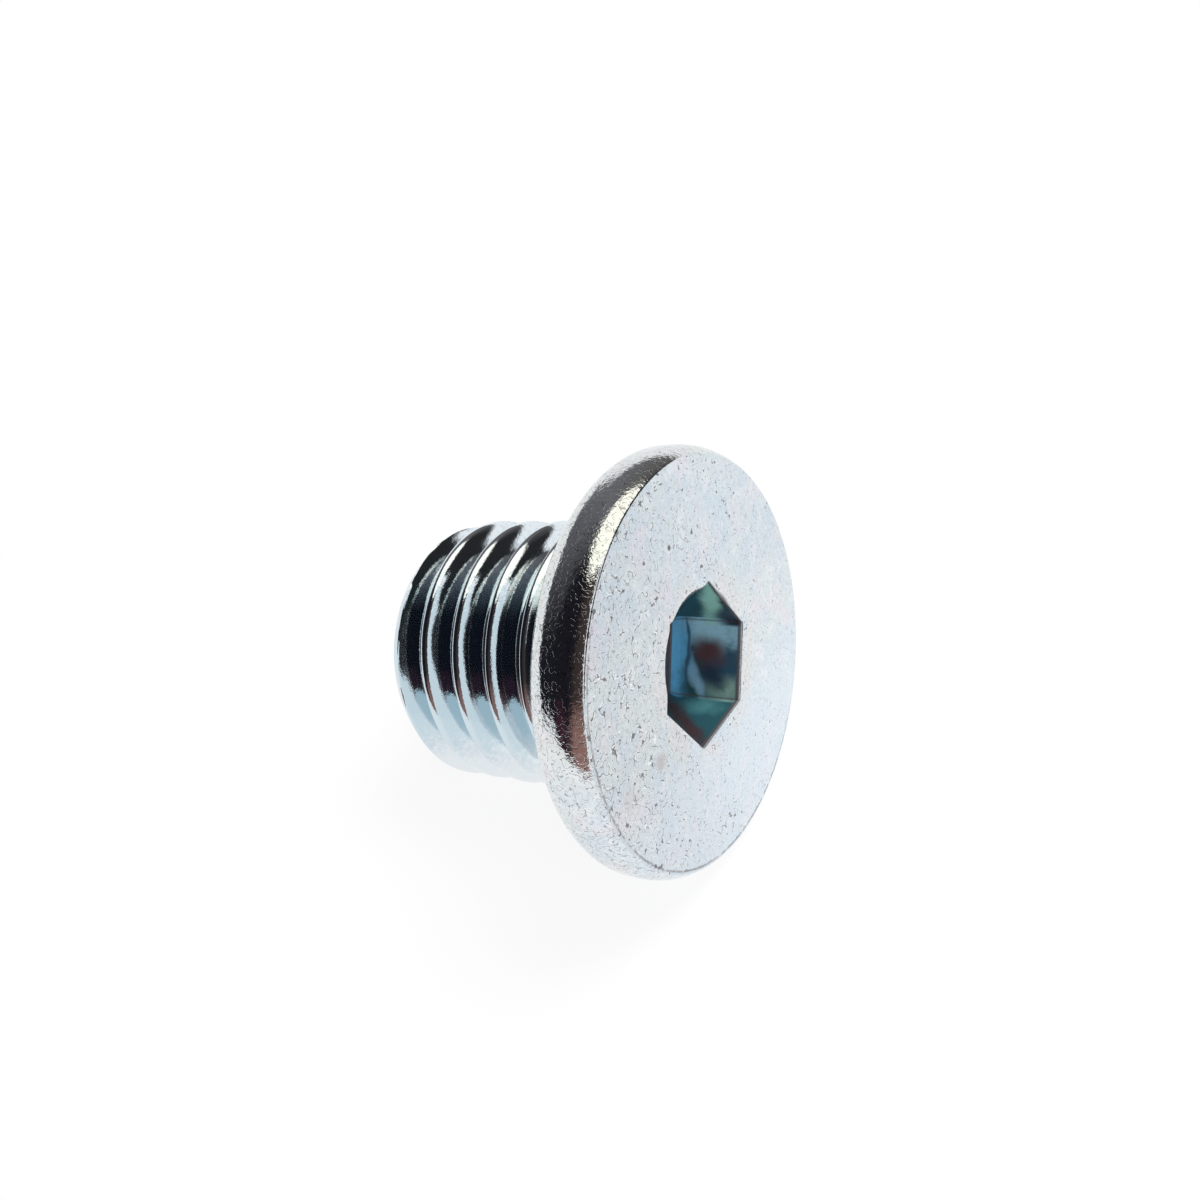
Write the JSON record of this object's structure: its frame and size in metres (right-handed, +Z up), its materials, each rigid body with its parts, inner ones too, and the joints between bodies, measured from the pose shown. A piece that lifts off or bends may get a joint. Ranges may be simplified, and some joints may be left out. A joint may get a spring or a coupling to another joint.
{
  "type": "socket screw",
  "caption": "Short screw with a broad flat head, a hexagon socket, a rounded rim, a shallow conical underside and a coarse right-hand thread.",
  "frame": {"origin": "under the middle of the lying screw, on the surface that carries it", "axes": "+Z up, +X the way the head points seen from above, +Y across the screw; its own axis lies in the XZ plane and rises about 17 degrees towards the head"},
  "size_m": [0.0134, 0.015, 0.0147],
  "materials": {
    "zinc_plate": "bright blue-white zinc plate, finely pitted"
  },
  "bodies": {
    "root": {"socket_screw": "zinc_plate"}
  },
  "joints": []
}
